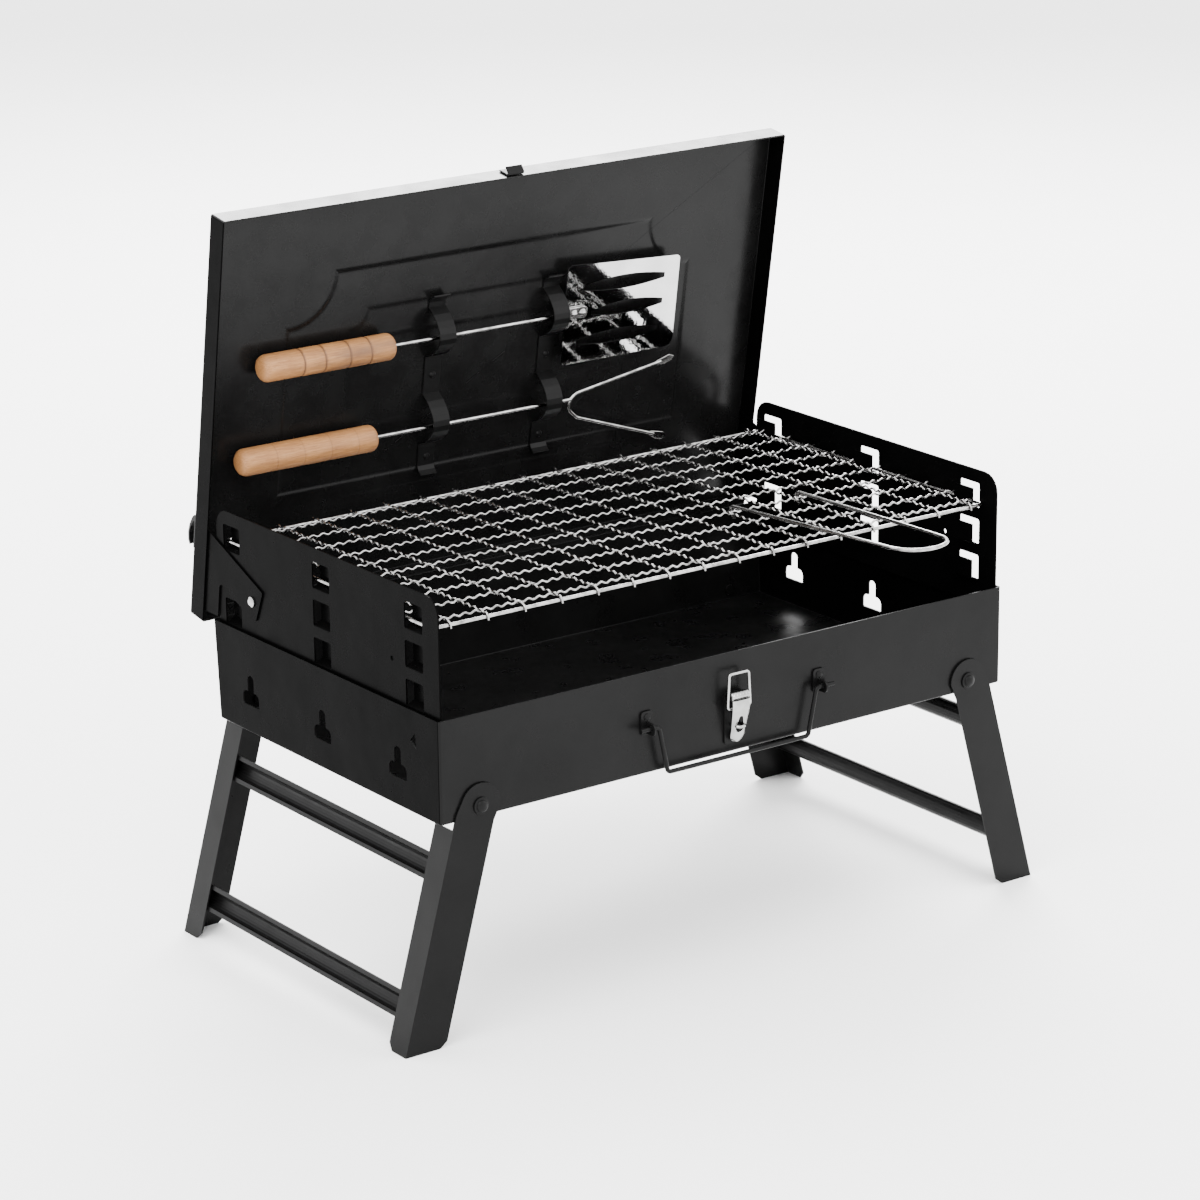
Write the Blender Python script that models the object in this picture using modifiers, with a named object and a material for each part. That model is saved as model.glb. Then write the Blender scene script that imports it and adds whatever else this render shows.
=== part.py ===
"""Folding camp grill: a firebox tray on splayed folding legs, with side plates, a grate and a hinged lid."""
import math

import bmesh
import bpy
from mathutils import Matrix, Vector

MM = 0.001
GAP = 0.3

# firebox tray
TRAY_Z = 138.0
TRAY_L = 430.0
TRAY_W = 250.0
TRAY_H = 64.0
BACK_TAPER = 4.0
SHEET = 1.0
RIM_Z = TRAY_Z + TRAY_H
KEYHOLE_Y = (-81.0, 1.0, 83.0)
KEYHOLE_SLOT_W = 7.0
KEYHOLE_TOP = 37.5
KEYHOLE_FOOT_W = 18.5
KEYHOLE_FOOT_Z = (18.0, 27.0)
TAB_Y = -98.0
TAB_LOW = 40.5

# side plates
PLATE_OUT = 212.6
PLATE_Y = (-123.0, 121.0)
PLATE_Z = (TRAY_Z + 49.0, TRAY_Z + 137.0)
PLATE_CORNER = 12.0
WINDOW_Y = (-97.4, 2.0, 103.7)
WINDOW_W = 18.8
WINDOW_H = 16.8
WINDOW_TOP = (TRAY_Z + 128.4, TRAY_Z + 104.7, TRAY_Z + 81.0)
HOOK_W = 17.4
HOOK_IN = 4.4
HOOK_DROP = 2.4
SIGHT_HOLE = (-74.0, TRAY_Z + 89.5, 1.6)

# lid
LID_X = 215.0
LID_H = 266.0
LID_LEAN = math.radians(9.45)
LID_FOOT = (153.8, TRAY_Z + 61.0)
LID_FLANGE = 15.4
CATCH_W = 12.0
LID_PIVOT = (80.0, TRAY_Z + 86.0)
BRACKET_X = (212.9, 213.7)
BRACKET_END = ((67.5, TRAY_Z + 94.4), (77.0, TRAY_Z + 72.5))
BRACKET_ROOT = ((141.0, TRAY_Z + 125.0), (149.0, TRAY_Z + 66.5))
BRACKET_HEEL = ((118.0, TRAY_Z + 89.5), (121.5, TRAY_Z + 66.5))

# grate
ROD_Z = TRAY_Z + 116.6
ROD_THICK = 1.2
ROD_CORNER = 3.0
GRATE_X = 209.4
GRATE_Y = (-112.5, 115.0)
MESH_Z = TRAY_Z + 119.0
MESH_THICK = 3.0
MESH_BAR = 1.4
LONG_WIRES = 10
LONG_PITCH = 23.5
LONG_FIRST = -106.7
SHORT_LONG_WIRES = (0, 5, 9)
SHORT_END = 205.2
CROSS_WIRES = 16
CROSS_PITCH = 26.4
GRIP_Y = LONG_FIRST + 3 * LONG_PITCH
GRIP_X = (70.0, 122.5)
GRIP_RISE = math.radians(3.2)
GRIP_REACH = 169.8
GRIP_WIRE = 1.2
GRIP_BEND = 3.4

# leg frames
LEG_SPLAY = math.radians(15.5)
LEG_PIVOT = (187.4, TRAY_Z + 7.5)
LEG_OUTER = 16.0
LEG_INNER = 11.5
LEG_TOP_R = 14.0
LEG_T = 1.2
LEG_FLANGE = 19.0
FLANGE_START = 16.5
PIVOT_R = 1.9
PIVOT_HEAD_R = 5.4
PIVOT_HOLE_R = 2.4
BAR_AT = (43.0, 127.7)
BAR_W = 16.5
BAR_GROOVE_R = 5.6
BAR_T = 1.0

# front wall fittings
HANDLE_X = 66.0
HANDLE_Z = TRAY_Z + 30.0
HANDLE_Y = -130.6
HANDLE_DROP = 30.0
HANDLE_HALF = 54.0
HANDLE_WIRE = 1.4
LUG_RIVET_UP = 6.2
LATCH_HINGE = (-130.6, TRAY_Z + 37.5)
LATCH_RIVETS = (12.0, 26.5)
BAIL_PIVOT = (-130.8, TRAY_Z + 30.0)
BAIL_R = 0.9
BAIL_HALF = 8.6
BASE_HALF = 7.5
LEVER_HALF = 6.6
STEM_HALF = 4.0
PIN_R = 1.0
STAPLE_UP = 18.5

# tools in the lid
TOOL_OFF = 10.6
CLIP_X = 44.3
CLIP_W = 12.4
CLIP_T = 0.8
CLIP_RIVETS = (77.5, 134.0)
SPATULA_V = 163.0
SPATULA_RIVETS = (57.5, 64.0)
SPATULA_GRIP = (-180.2, -83.2)
SPATULA_TAB = (42.0, 68.0)
BLADE_CORNERS = ((51.4, 126.8), (141.8, 127.2), (141.5, 191.0), (51.0, 196.0))
BLADE_SLOTS = ((178.5, 64.0, 130.0), (160.5, 72.5, 130.0), (141.5, 62.0, 128.5))
FORK_V = 102.0
FORK_GRIP = (-192.3, -92.0)
BORE_DEPTH = 12.0
ROD_R = 1.3
PRONG_R = 1.2
GRIP_R = 8.7

ROOT = bpy.data.collections.new("folding_camp_grill")
CUTTERS = bpy.data.collections.new("cutters")


def clear():
    for o in list(bpy.data.objects):
        bpy.data.objects.remove(o)
    bpy.context.scene.collection.children.link(ROOT)
    bpy.context.scene.collection.children.link(CUTTERS)


def material(name, rgb, metal, rough):
    m = bpy.data.materials.new(name)
    m.use_nodes = True
    b = m.node_tree.nodes["Principled BSDF"]
    b.inputs["Base Color"].default_value = (*rgb, 1.0)
    b.inputs["Metallic"].default_value = metal
    b.inputs["Roughness"].default_value = rough
    return m


def paint(name):
    return material(name, (0.02, 0.02, 0.022), 0.0, 0.35)


def bright(name):
    return material(name, (0.75, 0.75, 0.76), 1.0, 0.25)


def timber(name):
    return material(name, (0.62, 0.40, 0.20), 0.0, 0.6)


def place(data, name, kind, matrix=None):
    o = bpy.data.objects.new(name, data)
    ROOT.objects.link(o)
    if matrix is not None:
        o.matrix_world = matrix
    o.data.materials.append(kind(name))
    return o


def frame(x, y, z, origin):
    """A matrix whose columns are the three axes, at an origin given in millimetres."""
    m = Matrix.Identity(4)
    for i in range(3):
        m[i][0] = x[i]
        m[i][1] = y[i]
        m[i][2] = z[i]
        m[i][3] = origin[i] * MM
    return m


def side_frame(x):
    """Local x runs along world Y, local y up, thickness along world X."""
    return frame((0, 1, 0), (0, 0, 1), (1, 0, 0), (x, 0, 0))


def front_frame(y):
    """Local x runs along world X, local y up, thickness along world -Y."""
    return frame((1, 0, 0), (0, 0, 1), (0, -1, 0), (0, y, 0))


def lid_frame(off):
    """Local x along world X, local y up the lid panel, local z out of the panel towards the front."""
    s, c = math.sin(LID_LEAN), math.cos(LID_LEAN)
    y0 = LID_FOOT[0] - c * off
    z0 = LID_FOOT[1] - s * off
    return frame((1, 0, 0), (0, -s, c), (0, -c, -s), (0, y0, z0))


def lid_section():
    """Local x out of the lid panel towards the front, local y up the panel, thickness along world X."""
    s, c = math.sin(LID_LEAN), math.cos(LID_LEAN)
    return frame((0, -c, -s), (0, -s, c), (-1, 0, 0), (0, *LID_FOOT))


def leg_section(side):
    """Local x towards the outside of the leg, local y down the leg, thickness along world Y."""
    s, c = math.sin(LEG_SPLAY), math.cos(LEG_SPLAY)
    return frame((side * c, 0, s), (side * s, 0, -c), (0, side, 0), (side * LEG_PIVOT[0], 0, LEG_PIVOT[1]))


def rounded(points, radius, steps=4):
    """A closed outline with each listed corner rounded; radius is one number or one for each corner."""
    out = []
    n = len(points)
    radii = radius if isinstance(radius, (list, tuple)) else [radius] * n
    for i, p in enumerate(points):
        r = radii[i]
        if r <= 0:
            out.append(tuple(p))
            continue
        a = Vector(points[i - 1]) - Vector(p)
        b = Vector(points[(i + 1) % n]) - Vector(p)
        half = a.angle(b) / 2
        back = r / math.tan(half)
        start = Vector(p) + a.normalized() * back
        stop = Vector(p) + b.normalized() * back
        centre = Vector(p) + (a.normalized() + b.normalized()).normalized() * (r / math.sin(half))
        u = start - centre
        w = stop - centre
        turn = math.atan2(u.x * w.y - u.y * w.x, u.dot(w))
        for k in range(steps + 1):
            t = turn * k / steps
            v = Vector((u.x * math.cos(t) - u.y * math.sin(t), u.x * math.sin(t) + u.y * math.cos(t)))
            out.append(tuple(centre + v))
    return out


def circle(cx, cy, r, n=16):
    turns = [2 * math.pi * k / n for k in range(n)]
    return [(cx + r * math.cos(a), cy + r * math.sin(a)) for a in turns]


def box2(x0, y0, x1, y1):
    return [(x0, y0), (x1, y0), (x1, y1), (x0, y1)]


def outline(name, loops, thick):
    """A flat plate: the first loop is its edge and the others are holes; thick is in millimetres."""
    c = bpy.data.curves.new(name, "CURVE")
    c.dimensions = "2D"
    c.fill_mode = "BOTH"
    c.extrude = thick / 2 * MM
    for loop in loops:
        s = c.splines.new("POLY")
        s.points.add(len(loop) - 1)
        for p, q in zip(s.points, loop):
            p.co = (q[0] * MM, q[1] * MM, 0, 1)
        s.use_cyclic_u = True
    return c


def wire(name, points, radius, cyclic=False, sides=2):
    """A round wire through points in millimetres."""
    c = bpy.data.curves.new(name, "CURVE")
    c.dimensions = "3D"
    c.bevel_depth = radius * MM
    c.bevel_resolution = sides
    c.use_fill_caps = True
    s = c.splines.new("POLY")
    s.points.add(len(points) - 1)
    for p, q in zip(s.points, points):
        p.co = (q[0] * MM, q[1] * MM, q[2] * MM, 1)
    s.use_cyclic_u = cyclic
    return c


def bend(points, radius, steps=5):
    """An open path of 3-D points with its inner corners rounded."""
    out = [tuple(points[0])]
    for i in range(1, len(points) - 1):
        p = Vector(points[i])
        a = (Vector(points[i - 1]) - p).normalized()
        b = (Vector(points[i + 1]) - p).normalized()
        half = a.angle(b) / 2
        back = radius / math.tan(half)
        start = p + a * back
        stop = p + b * back
        centre = p + (a + b).normalized() * (radius / math.sin(half))
        u = start - centre
        w = stop - centre
        total = u.angle(w)
        for k in range(steps + 1):
            t = k / steps
            v = (u * math.sin((1 - t) * total) + w * math.sin(t * total)) / math.sin(total)
            out.append(tuple(centre + v))
    out.append(tuple(points[-1]))
    return out


def solid(curve, matrix=None):
    """A mesh object made from a curve, with its doubled cap points joined."""
    o = bpy.data.objects.new("tmp", curve)
    ROOT.objects.link(o)
    if matrix is not None:
        o.matrix_world = matrix
    bpy.context.view_layer.update()
    deps = bpy.context.evaluated_depsgraph_get()
    mesh = bpy.data.meshes.new_from_object(o.evaluated_get(deps))
    mesh.transform(o.matrix_world)
    bpy.data.objects.remove(o)
    bm = bmesh.new()
    bm.from_mesh(mesh)
    bmesh.ops.remove_doubles(bm, verts=bm.verts, dist=1e-6)
    bmesh.ops.recalc_face_normals(bm, faces=bm.faces)
    bm.to_mesh(mesh)
    bm.free()
    mesh.materials.clear()
    return mesh


def cutter(mesh, name):
    o = bpy.data.objects.new(name, mesh)
    CUTTERS.objects.link(o)
    o.hide_render = True
    o.display_type = "WIRE"
    return o


def boolean(target, mesh, operation, name, solver="EXACT"):
    m = target.modifiers.new(name, "BOOLEAN")
    m.operation = operation
    m.solver = solver
    m.object = cutter(mesh, target.name + "_" + name)
    return m


def merged(meshes):
    """One mesh holding several separate closed meshes."""
    bm = bmesh.new()
    for mesh in meshes:
        bm.from_mesh(mesh)
    out = bpy.data.meshes.new("merged")
    bm.to_mesh(out)
    bm.free()
    return out


def box_mesh(name, low, high):
    bm = bmesh.new()
    bmesh.ops.create_cube(bm, size=1.0)
    for v in bm.verts:
        for k in range(3):
            v.co[k] = ((low[k] + high[k]) / 2 + v.co[k] * (high[k] - low[k])) * MM
    mesh = bpy.data.meshes.new(name)
    bm.to_mesh(mesh)
    bm.free()
    return mesh


def origin_at(o, point):
    """Moves an object's origin to a world point in millimetres and leaves its shape where it is."""
    target = Vector(point) * MM
    shift = o.matrix_world.inverted() @ target
    o.data.transform(Matrix.Translation(-shift))
    o.matrix_world = o.matrix_world @ Matrix.Translation(shift)


def turned(name, profile, matrix, kind, steps=24):
    """A round piece: a profile at +X from top to bottom, turned about Z."""
    mesh = bpy.data.meshes.new(name)
    verts = [(r * MM, 0.0, z * MM) for r, z in profile]
    mesh.from_pydata(verts, [(i, i + 1) for i in range(len(verts) - 1)], [])
    o = place(mesh, name, kind, matrix)
    m = o.modifiers.new("turn", "SCREW")
    m.axis = "Z"
    m.steps = steps
    m.render_steps = steps
    m.use_merge_vertices = True
    m.merge_threshold = 0.00001
    m.use_smooth_shade = True
    return o


def tray():
    x, y = TRAY_L / 2, TRAY_W / 2
    foot = y - BACK_TAPER
    z0, z1 = TRAY_Z, RIM_Z
    pts = [(-x, -y, z0), (x, -y, z0), (x, foot, z0), (-x, foot, z0)]
    pts += [(-x, -y, z1), (x, -y, z1), (x, y, z1), (-x, y, z1)]
    faces = [(0, 3, 2, 1), (0, 1, 5, 4), (1, 2, 6, 5), (2, 3, 7, 6), (3, 0, 4, 7)]
    mesh = bpy.data.meshes.new("tray")
    mesh.from_pydata([tuple(c * MM for c in p) for p in pts], [], faces)
    o = place(mesh, "tray", paint)
    wall = o.modifiers.new("sheet", "SOLIDIFY")
    wall.thickness = SHEET * MM
    wall.offset = -1.0
    wall.use_even_offset = True
    cuts = []
    for ky in KEYHOLE_Y:
        w, f = KEYHOLE_SLOT_W / 2, KEYHOLE_FOOT_W / 2
        low, mid = (TRAY_Z + v for v in KEYHOLE_FOOT_Z)
        top = TRAY_Z + KEYHOLE_TOP
        foot_line = [(ky - f, low), (ky + f, low), (ky + f, mid), (ky + w, mid)]
        slot_line = [(ky + w, top), (ky - w, top), (ky - w, mid), (ky - f, mid)]
        cuts.append(rounded(foot_line + slot_line, [1.0, 1.0, 4.0, 0.6, 2.5, 2.5, 0.6, 4.0], 3))
    tab = TRAY_Z + TAB_LOW
    lanced = [(TAB_Y - 3.5, tab), (TAB_Y + 3.5, tab + 4.5), (TAB_Y - 2.0, tab + 10.0)]
    cuts.append(lanced)
    for n, loop in enumerate(cuts):
        plate = outline("keyhole", [loop], 2 * x + 20)
        boolean(o, solid(plate, side_frame(0)), "DIFFERENCE", "keyhole_%d" % n)
    for side in (-1, 1):
        for end in (-1, 1):
            hole = outline("pivot", [circle(side * LEG_PIVOT[0], LEG_PIVOT[1], 2.3)], 12)
            name = "pivot_%d_%d" % (side + 1, end + 1)
            boolean(o, solid(hole, front_frame(end * (y - 1.5))), "DIFFERENCE", name)
        relief = outline("relief", [circle(side * (x - 2.5), foot - 2.0, 3.2, 12)], 12)
        flat = frame((1, 0, 0), (0, 1, 0), (0, 0, 1), (0, 0, z0))
        boolean(o, solid(relief, flat), "DIFFERENCE", "relief_%d" % (side + 1))
        lug = outline("lug_hole", [circle(side * HANDLE_X, HANDLE_Z + LUG_RIVET_UP, 1.5, 12)], 8)
        boolean(o, solid(lug, front_frame(-y)), "DIFFERENCE", "lug_hole_%d" % (side + 1))
    for n, z in enumerate(LATCH_RIVETS):
        hole = outline("latch_hole", [circle(0, TRAY_Z + z, 1.5, 12)], 8)
        boolean(o, solid(hole, front_frame(-y)), "DIFFERENCE", "latch_hole_%d" % n)
    return o


def pivot_rivet(name, side, end):
    """A domed rivet through the leg plate and the tray wall, upset inside the tray."""
    face = TRAY_W / 2 + GAP + LEG_T + GAP
    if end > 0:
        low = TRAY_W / 2 - BACK_TAPER * (TRAY_H - 7.5) / TRAY_H
    else:
        low = TRAY_W / 2
    back = low - SHEET - GAP - 0.3
    r = PIVOT_HEAD_R
    turns = [math.radians(90 - 22.5 * k) for k in range(5)]
    dome = [(r * math.cos(a), face + 0.5 + 2.4 * math.sin(a)) for a in turns]
    dome[0] = (0.0, dome[0][1])
    shank = [(r, face), (PIVOT_R, face), (PIVOT_R, back)]
    profile = dome + shank + [(3.6, back), (3.4, back - 1.0), (0.0, back - 1.2)]
    m = frame((1, 0, 0), (0, 0, -end), (0, end, 0), (side * LEG_PIVOT[0], 0, LEG_PIVOT[1]))
    return turned(name, profile, m, paint, 16)


def leg(name, side, end):
    """An angle leg: a front plate rounded about the pivot, and a flange along its outer side."""
    s, c = math.sin(LEG_SPLAY), math.cos(LEG_SPLAY)
    inner, outer = -LEG_INNER, LEG_OUTER

    def foot(u):
        return (LEG_PIVOT[1] + u * s) / c

    turns = [math.radians(168 - 13 * k) for k in range(13)]
    top = [(LEG_TOP_R * math.cos(a), -LEG_TOP_R * math.sin(a)) for a in turns]
    clip_in = 4.0
    loop = [(outer, 7.0), (outer, foot(outer)), (inner + clip_in, foot(inner + clip_in))]
    loop += [(inner, foot(inner) - clip_in), (inner, 8.0)]
    m = leg_section(side)
    away = side * end
    near = TRAY_W / 2 + GAP
    deep = near + LEG_T - LEG_FLANGE
    body = outline(name, [loop + top, circle(0, 0, PIVOT_HOLE_R, 14)], LEG_FLANGE)
    mesh = solid(body, m @ Matrix.Translation((0, 0, away * (deep + LEG_FLANGE / 2) * MM)))
    o = place(mesh, name, paint)
    fold = outer - LEG_T
    waste = [(-40, -40), (40, -40), (40, FLANGE_START), (fold, FLANGE_START), (fold, 190), (-40, 190)]
    mesh = solid(outline("waste", [waste], 30), m @ Matrix.Translation((0, 0, away * (near - 15) * MM)))
    boolean(o, mesh, "DIFFERENCE", "fold")
    chamfer = box_mesh("chamfer", (-30, -3, -3), (30, 3, 3))
    chamfer.transform(Matrix.Rotation(math.radians(45), 4, "X"))
    toe = side * (LEG_PIVOT[0] + outer * c + foot(outer) * s)
    chamfer.transform(Matrix.Translation(Vector((toe, end * deep, 0)) * MM))
    boolean(o, chamfer, "DIFFERENCE", "chamfer")
    origin_at(o, (side * LEG_PIVOT[0], 0, LEG_PIVOT[1]))
    return o


def cross_bar(name, side, at):
    """A half-round channel between the two leg flanges, its groove facing outwards."""
    lip = BAR_W / 2
    r = BAR_GROOVE_R
    face = LEG_OUTER - LEG_T - GAP
    arc = [math.radians(180 * k / 10) for k in range(11)]
    outer = [(face - (r + BAR_T) * math.sin(a), at - (r + BAR_T) * math.cos(a)) for a in arc]
    inner = [(face - r * math.sin(a), at - r * math.cos(a)) for a in arc]
    outer[0] = (face - BAR_T, outer[0][1])
    outer[-1] = (face - BAR_T, outer[-1][1])
    low_lip = [(face, at - lip), (face - BAR_T, at - lip)]
    high_lip = [(face - BAR_T, at + lip), (face, at + lip)]
    loop = low_lip + outer + high_lip + inner[::-1]
    half = TRAY_W / 2 - 1.0
    o = place(solid(outline(name, [loop], 2 * half), leg_section(side)), name, paint)
    origin_at(o, (side * LEG_PIVOT[0], 0, LEG_PIVOT[1]))
    return o


def side_plate(name, side):
    x = side * (PLATE_OUT - SHEET / 2)
    corners = box2(PLATE_Y[0], PLATE_Z[0], PLATE_Y[1], PLATE_Z[1])
    loops = [rounded(corners, [2, 2, PLATE_CORNER, PLATE_CORNER], 5)]
    w = WINDOW_W / 2
    for y in WINDOW_Y:
        for top in WINDOW_TOP:
            loops.append(rounded(box2(y - w, top - WINDOW_H, y + w, top), 1.5, 2))
    loops.append(circle(*SIGHT_HOLE, 10))
    loops.append(circle(*LID_PIVOT, PIVOT_HOLE_R, 14))
    o = place(solid(outline(name, loops, SHEET), side_frame(x)), name, paint)
    hooks = [hook(side, y, top) for y in WINDOW_Y for top in WINDOW_TOP]
    boolean(o, merged(hooks), "UNION", "hooks", "MANIFOLD")
    return o


def hook(side, y, top):
    """A bent tongue that rises inside the plate from the lower edge of a window."""
    low = top - WINDOW_H
    out = PLATE_OUT - 0.1
    face = PLATE_OUT - SHEET + 0.1
    far = PLATE_OUT - SHEET - HOOK_IN
    loop = [(out, low - 3.0), (out, low + 0.3), (far, low + 3.1), (far, top - HOOK_DROP)]
    loop += [(far - SHEET, top - HOOK_DROP), (far - SHEET, low + 2.4), (face, low - 0.6), (face, low - 3.0)]
    m = frame((side, 0, 0), (0, 0, 1), (0, -side, 0), (0, y, 0))
    return solid(outline("hook", [loop], HOOK_W), m)


def lid_rivet(name, side):
    head = BRACKET_X[1] + GAP
    tail = PLATE_OUT - SHEET - GAP
    profile = [(0.0, head + 1.6), (2.2, head + 1.3), (3.3, head + 0.6), (3.4, head), (PIVOT_R, head)]
    profile += [(PIVOT_R, tail), (3.4, tail), (3.2, tail - 0.8), (0.0, tail - 1.0)]
    m = frame((0, 1, 0), (0, 0, side), (side, 0, 0), (0, LID_PIVOT[0], LID_PIVOT[1]))
    return turned(name, profile, m, bright, 14)


def lid_pan():
    x = LID_X
    pts = [(-x, 0, 0), (x, 0, 0), (x, LID_H, 0), (-x, LID_H, 0)]
    pts += [(p[0], p[1], LID_FLANGE) for p in pts]
    faces = [(0, 3, 2, 1), (0, 1, 5, 4), (1, 2, 6, 5), (2, 3, 7, 6), (3, 0, 4, 7)]
    mesh = bpy.data.meshes.new("lid_pan")
    mesh.from_pydata([tuple(c * MM for c in p) for p in pts], [], faces)
    o = place(mesh, "lid_pan", paint, lid_frame(0))
    wall = o.modifiers.new("sheet", "SOLIDIFY")
    wall.thickness = SHEET * MM
    wall.offset = -1.0
    wall.use_even_offset = True
    for side in (-1, 1):
        for v in CLIP_RIVETS:
            hole = outline("clip_hole", [circle(side * CLIP_X, v, 1.3, 10)], 6)
            boolean(o, solid(hole, lid_frame(0)), "DIFFERENCE", "clip_hole_%d_%d" % (side + 1, v))
    origin_at(o, (0, *LID_PIVOT))
    return o


def bracket(name, side):
    x = side * (BRACKET_X[0] + BRACKET_X[1]) / 2
    thick = BRACKET_X[1] - BRACKET_X[0]
    corners = [*BRACKET_END, *BRACKET_HEEL, BRACKET_ROOT[1], BRACKET_ROOT[0]]
    loop = rounded(corners, [1.5, 4, 3, 1, 1, 1], 3)
    loops = [loop, circle(*LID_PIVOT, PIVOT_HOLE_R, 14)]
    o = place(solid(outline(name, loops, thick), side_frame(x)), name, paint)
    origin_at(o, (0, *LID_PIVOT))
    return o


def lid_catch():
    """The tongue on the lid's front edge that the draw latch pulls on."""
    t = LID_H + GAP
    loop = [(4.0, t), (13.2, t), (14.2, t + 0.7), (14.2, t + 2.0), (10.8, t + 5.3), (10.0, t + 4.6)]
    loop += [(13.0, t + 1.6), (12.7, t + 1.0), (4.0, t + 1.0)]
    o = place(solid(outline("lid_catch", [loop], CATCH_W), lid_section()), "lid_catch", paint)
    hole = outline("hole", [circle(0, 0, 1.3, 10)], 6)
    m = lid_frame(7.5) @ Matrix.Translation((0, LID_H * MM, 0)) @ Matrix.Rotation(math.radians(90), 4, "X")
    boolean(o, solid(hole, m), "DIFFERENCE", "hole")
    return o


def rear_claw(name, side):
    """A downward hook riveted on the outside of the lid panel."""
    x = side * (LID_X - 7.0)
    base = [(-GAP, 66.5), (-GAP, 44.5), (-1.5, 44.5), (-1.5, 62.0)]
    inside = [(-3.2, 61.5), (-5.8, 57.0), (-6.9, 52.5), (-6.4, 48.0), (-4.9, 45.6)]
    outside = [(-6.0, 44.6), (-7.8, 47.4), (-8.4, 52.6), (-7.2, 58.2), (-4.6, 63.6), (-2.6, 66.0)]
    loop = base + inside + outside
    m = lid_section() @ Matrix.Translation((0, 0, -x * MM))
    return place(solid(outline(name, [loop], 12.0), m), name, paint)


def strip(path, thick):
    """A closed outline around an open path in one plane: the path and the same path moved sideways."""
    far = []
    n = len(path)
    for i, p in enumerate(path):
        a = Vector(path[max(i - 1, 0)])
        b = Vector(path[min(i + 1, n - 1)])
        t = (b - a).normalized()
        far.append((p[0] + t.y * thick, p[1] - t.x * thick))
    return list(path) + far[::-1]


def arch(v0, v1, height, steps=10):
    """Points of a spring arch that leaves the lid at v0 and meets it again at v1."""
    base = SHEET + GAP
    out = []
    for k in range(steps + 1):
        t = k / steps
        out.append((base + height * math.sin(math.pi * t) ** 0.8, v0 + (v1 - v0) * t))
    return out


def clip(name, side):
    """A spring strip with two arches that hold the tool rods."""
    base = SHEET + GAP
    path = [(base + 5.0, 66.0), (base + 2.0, 68.0), (base, 71.0), (base, 84.0)]
    path += arch(87.0, 121.0, 15.0)
    path += [(base, 128.0), (base, 140.0)]
    path += arch(147.0, 180.0, 15.0)
    path += [(base, 184.0), (base + 2.0, 188.0), (base + 5.5, 190.0)]
    m = lid_section() @ Matrix.Translation((0, 0, -side * CLIP_X * MM))
    o = place(solid(outline(name, [strip(path, CLIP_T)], CLIP_W), m), name, paint)
    holes = outline("holes", [circle(side * CLIP_X, v, 1.3, 10) for v in CLIP_RIVETS], 6)
    boolean(o, solid(holes, lid_frame(0)), "DIFFERENCE", "holes")
    return o


def clip_rivet(name, side, v):
    head = SHEET + CLIP_T + 2 * GAP
    profile = [(0.0, 3.6), (1.6, 3.4), (2.4, head), (1.0, head)]
    profile += [(1.0, -GAP), (2.2, -GAP), (1.8, -1.0), (0.0, -1.2)]
    m = lid_frame(0) @ Matrix.Translation((side * CLIP_X * MM, v * MM, 0))
    return turned(name, profile, m, paint, 14)


def comb():
    """The outer edge of the wire mesh: every wire runs on to the frame, or stops short of a grate hook."""
    h = MESH_BAR / 2
    xs = [(i - (CROSS_WIRES - 1) / 2) * CROSS_PITCH for i in range(CROSS_WIRES)]
    ys = [LONG_FIRST + i * LONG_PITCH for i in range(LONG_WIRES)]
    ends = [SHORT_END if i in SHORT_LONG_WIRES else GRATE_X for i in range(LONG_WIRES)]
    edge = []
    for x in xs:
        edge += [(x - h, ys[0] - h), (x - h, GRATE_Y[0]), (x + h, GRATE_Y[0]), (x + h, ys[0] - h)]
    for y, far in zip(ys, ends):
        edge += [(xs[-1] + h, y - h), (far, y - h), (far, y + h), (xs[-1] + h, y + h)]
    for x in reversed(xs):
        edge += [(x + h, ys[-1] + h), (x + h, GRATE_Y[1]), (x - h, GRATE_Y[1]), (x - h, ys[-1] + h)]
    for y, far in zip(reversed(ys), reversed(ends)):
        edge += [(xs[0] - h, y + h), (-far, y + h), (-far, y - h), (xs[0] - h, y - h)]
    clean = [p for i, p in enumerate(edge) if (Vector(p) - Vector(edge[i - 1])).length > 1e-4]
    return clean, xs, ys


def grate():
    h = MESH_BAR / 2
    edge, xs, ys = comb()
    loops = [edge]
    for i in range(CROSS_WIRES - 1):
        for j in range(LONG_WIRES - 1):
            loops.append(box2(xs[i] + h, ys[j] + h, xs[i + 1] - h, ys[j + 1] - h))
    flat = frame((1, 0, 0), (0, 1, 0), (0, 0, 1), (0, 0, MESH_Z))
    o = place(solid(outline("grate", loops, MESH_THICK), flat), "grate", bright)
    x = GRATE_X
    y0, y1 = GRATE_Y
    ring = rounded(box2(-x, y0, x, y1), ROD_CORNER, 4)
    rod = wire("rod", [(p[0], p[1], ROD_Z) for p in ring], ROD_THICK, True, 2)
    boolean(o, solid(rod), "UNION", "rod", "MANIFOLD")
    origin_at(o, (0, 0, MESH_Z))
    return o


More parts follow.
